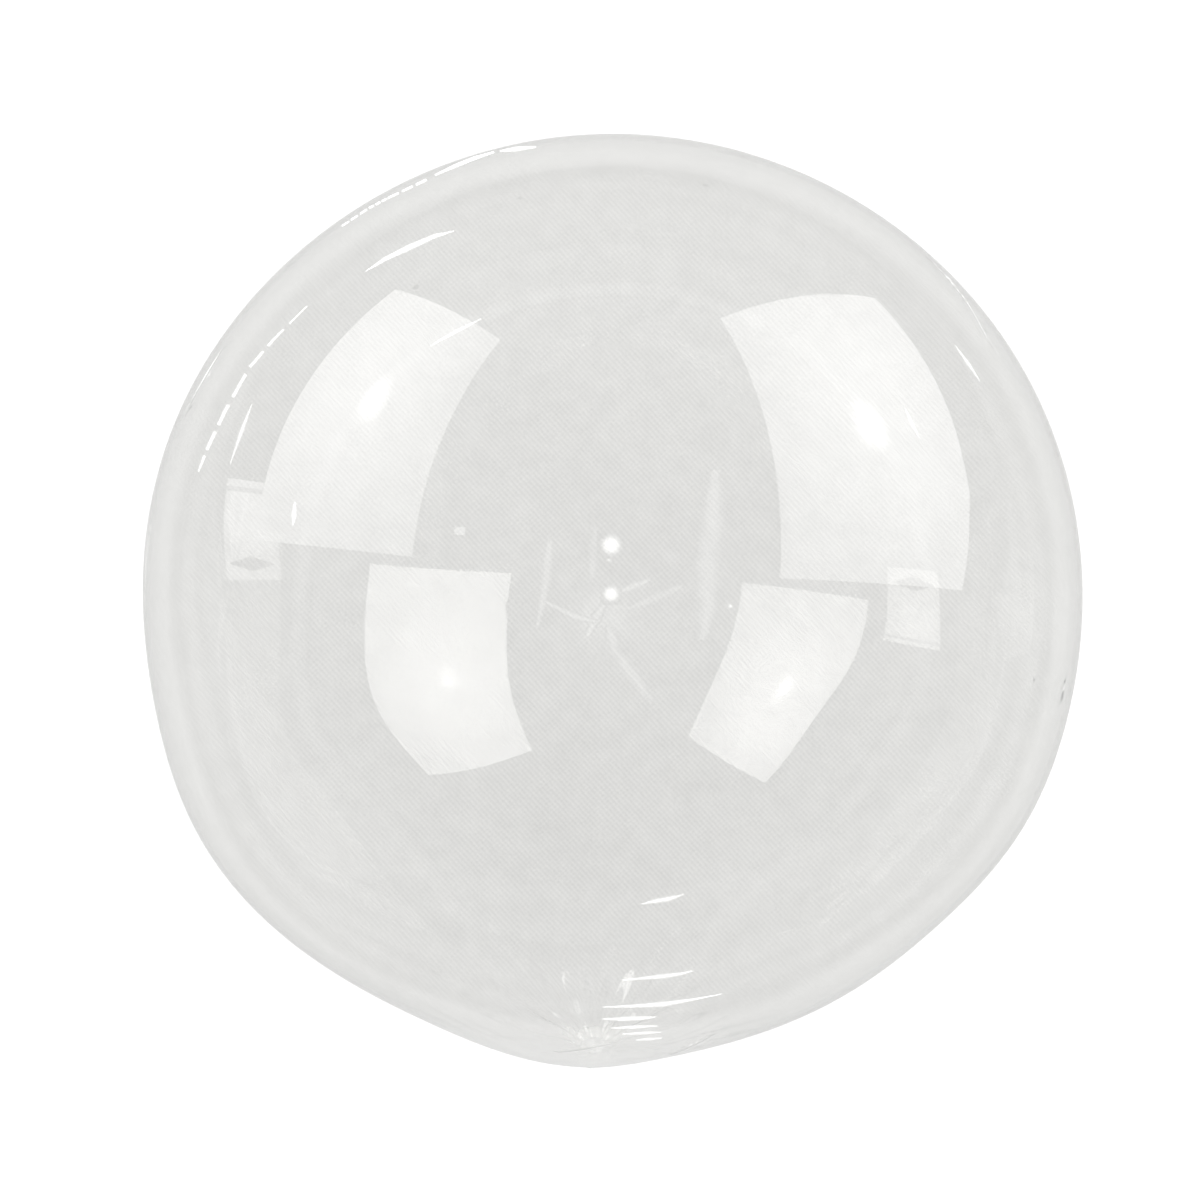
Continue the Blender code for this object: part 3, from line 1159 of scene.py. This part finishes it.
@dataclass(frozen=True)
class Cloth:
    """Grey twill cloth under the balloon, which shows only through the film. It glows with painted light and no lamp
    lights it; the glow is a little brighter away from the neck, and its fade at the edge reads as a painted soft
    shadow under the balloon.
    """

    colour: tuple[float, float, float, float] = (0.815, 0.815, 0.808, 1.0)
    reach: tuple[float, float] = (0.40, 0.62)
    # painted light: where the cloth's glow grades along Y, and its levels from the neck's side to the far side
    painted_light_span: tuple[float, float] = (-0.30, 0.28)
    painted_light_levels: tuple[float, float] = (0.965, 1.078)
    threads: tuple[tuple[float, float, float], ...] = ((-42.0, 116.0, 0.038), (50.0, 134.0, 0.020))
    mottles: tuple[tuple[float, float], ...] = ((14.0, 0.014), (75.0, 0.026))

    def material(self, form: FilmForm) -> bpy.types.Material:
        """Woven and mottled, glowing with painted light a little brighter away from the neck, and clear beyond its
        reach.
        """
        material = light_material("table_cloth")
        board = NodeBoard(material.node_tree)
        place = board.place("Object")
        along = board.node("SeparateXYZ", {"Vector": place}).outputs["Y"]
        # painted light: the cloth glows brighter away from the neck
        strength = board.graded(along, self.painted_light_span, self.painted_light_levels)
        for turn, scale, depth in self.threads:
            turned = {"Vector": place, "Rotation": (0.0, 0.0, math.radians(turn))}
            along = board.node("Mapping", turned).outputs["Vector"]
            wave = board.node("TexWave", {"Vector": along, "Scale": scale})
            level = board.graded(wave.outputs["Fac"], (0.0, 1.0), (1.0 - depth, 1.0 + depth))
            strength = board.total("MULTIPLY", level, strength)
        for scale, depth in self.mottles:
            level = board.graded(board.noise(place, scale, 2.0), (0.3, 0.7), (1.0 - depth, 1.0 + depth))
            strength = board.total("MULTIPLY", level, strength)
        # the cloth glows by itself, painted light in place of lamplight
        glow = board.emission(strength, self.colour)
        away = board.distance(place, (form.middle[0], form.middle[1], 0.0))
        # fades to clear at its edge, which reads as a painted soft shadow under the balloon
        board.show(board.clear_and(board.graded(away, self.reach, shape="SMOOTHSTEP"), glow, None))
        return material

    def build(self, form: FilmForm) -> bpy.types.Object:
        """Build the cloth under a balloon of a form."""
        bm = bmesh.new()
        bmesh.ops.create_circle(bm, cap_ends=True, segments=96, radius=self.reach[1])
        bmesh.ops.translate(bm, verts=bm.verts, vec=(0.0, 0.0, -FLOOR_DROP * 0.6))
        cloth = staged(bm, "table_cloth", self.material(form))
        cloth.visible_camera = False
        cloth.visible_diffuse = False
        cloth.visible_shadow = False
        cloth.visible_glossy = False
        return cloth


@dataclass(frozen=True)
class MirroredRoom:
    """The round room that only the film's gloss shows, by its light along two slopes.

    Stops are (share of the room's radius, level).
    """

    size: float = 2.2
    warmth: float = 0.994
    ceiling_slant: tuple[float, float, float] = (0.0, 0.45, 1.0)
    ceiling_stops: tuple[tuple[float, float], ...] = (
        (-1.0, 0.88),
        (-0.15, 0.88),
        (-0.115, 0.62),
        (0.5, 0.68),
        (1.0, 0.66),
    )
    edge_stops: tuple[tuple[float, float], ...] = (
        (-1.0, 1.02),
        (-0.62, 0.98),
        (-0.47, 0.58),
        (-0.36, 0.76),
        (-0.29, 0.63),
        (-0.20, 0.82),
        (1.0, 0.98),
    )

    def material(self) -> bpy.types.Material:
        """A dim ceiling, a bright band of wall and table, and a dim edge below."""
        material = light_material("mirrored_room")
        board = NodeBoard(material.node_tree)
        place = board.place("Object")
        levels = []
        for slant, stops in ((self.ceiling_slant, self.ceiling_stops), ((0.0, 0.0, 1.0), self.edge_stops)):
            height = board.node("VectorMath", {0: place, 1: slant}, "DOT_PRODUCT").outputs["Value"]
            share = board.graded(height, (-self.size, self.size))
            shares = tuple(((position + 1.0) / 2.0, level) for position, level in stops)
            levels.append(board.ramp(share, shares, self.warmth, "EASE"))
        both = board.node("VectorMath", {0: levels[0], 1: levels[1]}, "MULTIPLY").outputs["Vector"]
        board.show(board.emission(1.0, both))
        return material

    def build(self, form: FilmForm) -> bpy.types.Object:
        """Build the room round a balloon of a form."""
        bm = bmesh.new()
        bmesh.ops.create_uvsphere(bm, u_segments=64, v_segments=48, radius=self.size)
        room = only_mirrored(staged(bm, "mirrored_room", self.material()))
        room.location = form.middle
        return room


@dataclass
class Studio:
    """Floor, cloth, surroundings, lamps and camera."""

    form: FilmForm
    picture: Picture
    sky_stops: tuple[tuple[float, float], ...] = ((0.0, 0.90), (0.3, 0.78), (0.5, 0.70), (1.0, 0.64))
    floor_lamps: tuple[tuple[str, tuple[float, float, float], float, float, float], ...] = (
        ("fill_lamp", (0.0, -1.3, 1.6), 30.0, 1.6, 9.0),
        ("top_lamp", (0.0, 0.4, 3.0), 0.0, 3.0, 42.0),
    )
    ceiling_lamps: tuple[tuple[float, float, float], ...] = ((-0.053, 1.041, 8.0), (-0.053, -0.5, 8.0))
    ceiling_lamp_radius: float = 0.022
    ceiling_lamp_glow: float = 30.0

    def build_surroundings(self) -> None:
        """A pale room: brightest along the horizon and dimmer overhead."""
        world = bpy.data.worlds.new("studio")
        bpy.context.scene.world = world
        world.use_nodes = True
        board = NodeBoard(world.node_tree)
        background = world.node_tree.nodes["Background"]
        up = board.node("SeparateXYZ", {"Vector": board.place("Generated")}).outputs["Z"]
        colour = board.ramp(up, self.sky_stops, 0.995, "LINEAR")
        world.node_tree.links.new(colour, background.inputs["Color"])
        background.inputs["Strength"].default_value = 1.0

    def build_ceiling_lamps(self) -> None:
        """Two small bright lamps high above."""
        material = bpy.data.materials.new("ceiling_lamp")
        material.use_nodes = True
        shader = material.node_tree.nodes["Principled BSDF"]
        shader.inputs["Emission Color"].default_value = (1.0, 1.0, 1.0, 1.0)
        shader.inputs["Emission Strength"].default_value = self.ceiling_lamp_glow
        for number, place in enumerate(self.ceiling_lamps):
            bm = bmesh.new()
            bmesh.ops.create_uvsphere(bm, u_segments=24, v_segments=12, radius=self.ceiling_lamp_radius)
            middle = Vector(self.form.middle) + Vector(place) * self.form.radius
            bmesh.ops.translate(bm, verts=bm.verts, vec=middle)
            only_mirrored(staged(bm, f"ceiling_lamp_{number + 1}", material))

    def build_floor_lamps(self) -> None:
        """Two wide lamps above, which only light the floor and the gathered film."""
        for name, place, tilt, size, power in self.floor_lamps:
            data = bpy.data.lights.new(name, "AREA")
            data.shape = "SQUARE"
            data.size = size
            data.energy = power
            lamp = bpy.data.objects.new(name, data)
            bpy.context.scene.collection.objects.link(lamp)
            lamp.location = place
            lamp.rotation_euler = (math.radians(tilt), 0.0, 0.0)
            lamp.visible_camera = False
            lamp.visible_glossy = False
            lamp.visible_transmission = False

    def build_camera(self) -> None:
        """A camera straight above, with the neck at the bottom of its picture."""
        data = bpy.data.cameras.new("camera")
        data.sensor_width = 36.0
        data.lens = 18.0 * self.picture.scale / 600.0
        data.shift_x = (600.0 - self.picture.middle[0]) / 1200.0
        camera = bpy.data.objects.new("camera", data)
        bpy.context.scene.collection.objects.link(camera)
        camera.location = Vector(self.form.middle) + Vector(self.picture.camera())
        bpy.context.scene.camera = camera

    def build(self) -> None:
        """Build the whole studio."""
        Floor().build(self.form)
        self.build_surroundings()
        self.build_ceiling_lamps()
        Cloth().build(self.form)
        MirroredRoom().build(self.form)
        self.build_floor_lamps()
        for panel in PANELS:
            panel.build(self.form)
        for lamp in (*STRIPS, *GLOWS):
            lamp.build(self.picture)
        self.build_camera()
        view = bpy.context.scene.view_settings
        view.view_transform = "Standard"
        view.look = "None"


def report(piece: bpy.types.Object) -> None:
    """Log a piece's name and size."""
    LOG.info("%s: %d faces before its modifiers", piece.name, len(piece.data.polygons))


def main() -> None:
    """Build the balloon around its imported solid, and the studio around the balloon."""
    logging.basicConfig(level=logging.INFO, format="%(message)s")
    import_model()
    form = FilmForm()
    wear = FilmWear().group()
    film = ClearFilm("clear_film").material(wear)
    gathered = ClearFilm(
        "gathered_film",
        (0.93, 0.93, 0.92, 1.0),
        smoothness=0.16,
        cloud_depth=0.06,
        speck_share=0.2,
        index=1.35,
        clearness=0.65,
        waviness=1.0,
        relief=0.0002,
    ).material(wear)

    report(EnvelopeFilm(form, film).build())
    neck = NeckKnot(form, gathered)
    report(neck.build_throat())
    report(neck.build_knot())
    report(LooseEnd(form, gathered).build())
    Studio(form, Picture(form)).build()


if __name__ == "__main__":
    main()
